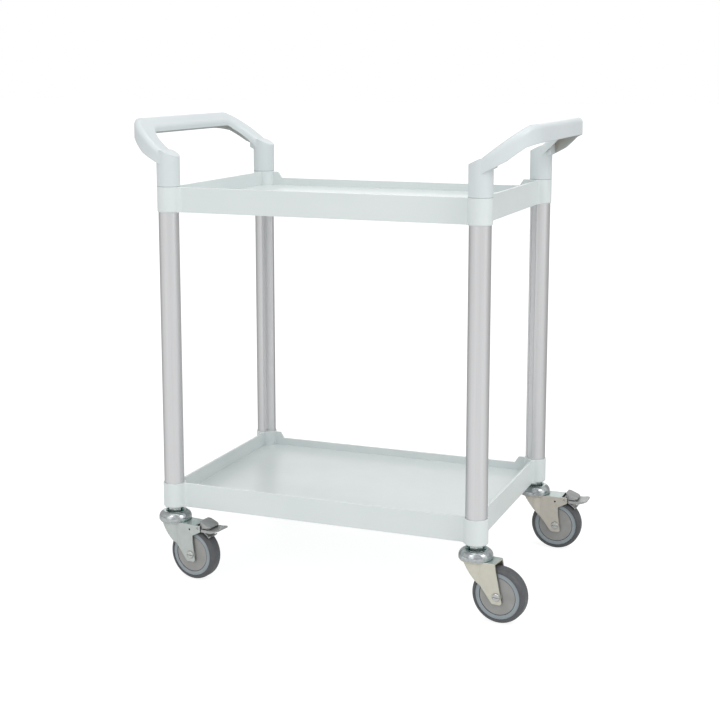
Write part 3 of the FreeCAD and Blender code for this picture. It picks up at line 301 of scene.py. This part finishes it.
# Patterns stretched up the post, 100 times as by brushing and 200 times as by the extruder's die
BRUSHED, DRAWN = (1, 1, 0.01), (1, 1, 0.005)

# Anodising leaves the metal satin: a broad soft highlight runs up each post and its sides go dim.
# The notch was never brushed and shines less; its lighter tone is painted light on its walls
post_aluminium, tree, shader, place = start_material("satin anodised aluminium",
                                                     Specular_Tint=(0.4, 0.4, 0.41, 1.0))
folded = add(tree, "ShaderNodeVectorMath", {0: place}, operation="ABSOLUTE")
from_axis = add(tree, "ShaderNodeVectorMath", {0: folded.outputs[0], 1: (POST_X, POST_Y, 0)},
                operation="SUBTRACT")
level = add(tree, "ShaderNodeVectorMath", {0: from_axis.outputs[0], 1: (1, 1, 0)},
            operation="MULTIPLY")
radius = add(tree, "ShaderNodeVectorMath", {0: level.outputs[0]}, operation="LENGTH")
skin = add(tree, "ShaderNodeMapRange", {"Value": radius.outputs["Value"], "From Min": NOTCH_END,
                                        "From Max": NOTCH_START}).outputs[0]
tone = mottle(tree, place, grain_mm=2.5, low="d3d3d4", high="d7d7d8", detail=2.0, stretch=BRUSHED)
feed(tree, shader,
     # Painted light: the notch is a little lighter than the brushed skin
     Base_Color=add(tree, "ShaderNodeMix", {0: skin, 6: linear("e2e2e3"), 7: tone},
                    data_type="RGBA").outputs[2],
     Metallic=add(tree, "ShaderNodeMapRange",
                  {"Value": skin, "To Min": 0.1, "To Max": 0.85}).outputs[0],
     Roughness=between(tree, place, grain_mm=1.5, low=0.36, high=0.42, stretch=BRUSHED),
     Normal=relief(tree, place, grain_mm=0.8, depth_mm=0.004, edge_mm=0.5, stretch=DRAWN))
for corner in CORNERS:
    dress(nodes[f"post_{corner}"], post_aluminium)


# Upper tray and the plugs at the heads of the posts
# The tray is the same moulding as the lower one, pushed down onto the posts. The plugs close the
# posts' heads under the handles' pins.
dress(nodes["upper_tray"], tray_plastic)
dress(nodes["post_head_plugs"], plug_plastic)


# Handles
# Each bow is one moulding in the trays' polypropylene, hollow below, and its two sleeves stand on
# the upper tray's sockets, with their pins pushed in.
SLEEVE_FOOT = 0.7465

# Handle plastic: as the trays, but with painted shade, a warm dark grey, up inside the hollow bow,
# and a fine grey line of painted shade round the foot of each sleeve
handle_plastic = moulded("moulded mint-grey polypropylene, handle", "ced5d7", "d2d9da", "ada493",
                         reach_mm=45, start=0.25, end=0.6, seam=SLEEVE_FOOT)
dress(nodes["handle_left"], handle_plastic)
dress(nodes["handle_right"], handle_plastic)


# Floor, light and camera
# A plain white studio floor that runs out of the picture, a white tent all round that is a little
# brighter to the front, three soft lamps, and one camera a little above the trolley's handles.
FLOOR_HALF = 30
mesh = bpy.data.meshes.new("studio_floor")
sheet = bmesh.new()
bmesh.ops.create_grid(sheet, x_segments=1, y_segments=1, size=FLOOR_HALF)
sheet.to_mesh(mesh)
sheet.free()
floor = bpy.data.objects.new("studio_floor", mesh)
bpy.context.collection.objects.link(floor)

# Paper: dead matt, and it glows, which keeps the shadows on it faint. What the trolley mirrors of
# it is a painted glow, bright to the front and dim to the back, while the camera sees it evenly
# white
FLOOR_BRIGHT = (0.1, -0.99, 0.0)
FLOOR_GLOW_BACK, FLOOR_GLOW_FRONT, FLOOR_SEEN = 0.24, 0.67, 0.85
paper, tree, shader, place = start_material("matt studio paper", Roughness=0.9,
                                            Specular_IOR_Level=0.1, Emission_Color=(1, 1, 1, 1))
along = add(tree, "ShaderNodeVectorMath", {0: place, 1: FLOOR_BRIGHT}, operation="DOT_PRODUCT")
mirrored = add(tree, "ShaderNodeMapRange",
               {"Value": along.outputs["Value"], "From Min": -0.9, "From Max": 0.9,
                "To Min": FLOOR_GLOW_BACK, "To Max": FLOOR_GLOW_FRONT}, interpolation_type="SMOOTHSTEP")
direct = add(tree, "ShaderNodeLightPath").outputs["Is Camera Ray"]
glow = add(tree, "ShaderNodeMix", {0: direct, 2: mirrored.outputs[0], 3: FLOOR_SEEN})
feed(tree, shader,
     Base_Color=mottle(tree, place, grain_mm=900, low="8e8f8f", high="929393", detail=1.0),
     Emission_Strength=glow.outputs[0])
mesh.materials.append(paper)

# The tent: TENT_BRIGHT points to its brightest side, BACKDROP to the lit cloth behind the trolley,
# and a grey strip runs along the horizon in front. BANNERS are two tall bright panels, which the
# polished caps mirror as upright highlights. The camera sees all of it plain white. The cloth and
# the panels start and are full at these cosines of the angle from their directions
TENT_BRIGHT, TENT_DIM, TENT_LIT = (0.15, -0.55, 0.82), 0.42, 0.84
BACKDROP, BACKDROP_GLOW, BACKDROP_START, BACKDROP_FULL = (-0.36, 0.93, 0.04), 1.2, 0.9, 0.995
BANNERS, BANNER_GLOW = ((-0.31, -0.95, 0.0), (0.97, -0.22, 0.0)), 0.75
BANNER_START, BANNER_FULL = 0.93, 0.985
STRIP_SHARE = 0.3
tent = bpy.data.worlds.new("studio_tent")
tent.use_nodes = True
tree = tent.node_tree
tree.nodes.clear()
where = add(tree, "ShaderNodeTexCoord").outputs["Generated"]
facing = add(tree, "ShaderNodeVectorMath", {0: where, 1: TENT_BRIGHT}, operation="DOT_PRODUCT")
cloth = add(tree, "ShaderNodeMapRange", {"Value": facing.outputs["Value"], "From Min": -1.0,
                                         "From Max": 1.0, "To Min": TENT_DIM, "To Max": TENT_LIT})
behind = add(tree, "ShaderNodeVectorMath", {0: where, 1: BACKDROP}, operation="DOT_PRODUCT")
drop = add(tree, "ShaderNodeMapRange",
           {"Value": behind.outputs["Value"], "From Min": BACKDROP_START,
            "From Max": BACKDROP_FULL, "To Max": BACKDROP_GLOW}, interpolation_type="SMOOTHSTEP")
bright = add(tree, "ShaderNodeMath", {0: cloth.outputs[0], 1: drop.outputs[0]}, operation="ADD")
level = add(tree, "ShaderNodeVectorMath", {0: where, 1: (1, 1, 0)}, operation="MULTIPLY")
bearing = add(tree, "ShaderNodeVectorMath", {0: level.outputs[0]}, operation="NORMALIZE")
for banner in BANNERS:
    toward = add(tree, "ShaderNodeVectorMath", {0: bearing.outputs[0], 1: banner},
                 operation="DOT_PRODUCT")
    panel = add(tree, "ShaderNodeMapRange",
                {"Value": toward.outputs["Value"], "From Min": BANNER_START,
                 "From Max": BANNER_FULL, "To Max": BANNER_GLOW}, interpolation_type="SMOOTHSTEP")
    bright = add(tree, "ShaderNodeMath", {0: bright.outputs[0], 1: panel.outputs[0]},
                 operation="ADD")
parts = add(tree, "ShaderNodeSeparateXYZ", {0: where})
low = add(tree, "ShaderNodeMapRange", {"Value": parts.outputs["Z"], "From Min": 0.05,
                                       "From Max": 0.3, "To Min": STRIP_SHARE, "To Max": 0.0},
          interpolation_type="SMOOTHSTEP")
front = add(tree, "ShaderNodeMapRange", {"Value": parts.outputs["Y"], "From Min": 0.1,
                                         "From Max": -0.3})
strip = add(tree, "ShaderNodeMath", {0: low.outputs[0], 1: front.outputs[0]}, operation="MULTIPLY")
kept = add(tree, "ShaderNodeMath", {0: 1.0, 1: strip.outputs[0]}, operation="SUBTRACT")
shade = add(tree, "ShaderNodeMath", {0: bright.outputs[0], 1: kept.outputs[0]},
            operation="MULTIPLY")
lit = add(tree, "ShaderNodeBackground", {"Color": (1, 1, 1, 1), "Strength": shade.outputs[0]})
seen = add(tree, "ShaderNodeBackground", {"Color": (1, 1, 1, 1), "Strength": 1.0})
direct = add(tree, "ShaderNodeLightPath").outputs["Is Camera Ray"]
mixed = add(tree, "ShaderNodeMixShader", {0: direct, 1: lit.outputs[0], 2: seen.outputs[0]})
add(tree, "ShaderNodeOutputWorld", {"Surface": mixed.outputs[0]})
bpy.context.scene.world = tent

# Square lamps with their place, side in metres and watts, all turned to the trolley's middle
AIM = Vector((0.0, 0.0, 0.42))
LAMPS = {"key_light": ((-0.7, -2.2, 2.7), 0.6, 5),
         "fill_light": ((2.3, -0.6, 2.4), 0.9, 17),
         "top_light": ((0.0, 0.2, 3.0), 1.2, 8)}
for name, (spot, side, watts) in LAMPS.items():
    lamp = bpy.data.lights.new(name, "AREA")
    lamp.size = side
    lamp.energy = watts
    light = bpy.data.objects.new(name, lamp)
    light.location = spot
    light.rotation_euler = (light.location - AIM).to_track_quat("Z", "Y").to_euler()
    bpy.context.collection.objects.link(light)

# The camera stands as the photograph's did, with a small shift that frames the trolley as it does
EYE = (0.9802, -2.5044, 0.9723)
TILT_DEGREES, TURN_DEGREES = 80.93, 21.39
LENS_MM, SENSOR_MM, SHIFT = 70.55, 36.0, -0.1
lens = bpy.data.cameras.new("camera")
lens.sensor_width = SENSOR_MM
lens.lens = LENS_MM
lens.shift_y = SHIFT
camera = bpy.data.objects.new("camera", lens)
camera.location = EYE
camera.rotation_euler = (math.radians(TILT_DEGREES), 0.0, math.radians(TURN_DEGREES))
bpy.context.collection.objects.link(camera)
bpy.context.scene.camera = camera
bpy.context.scene.view_settings.view_transform = "Standard"
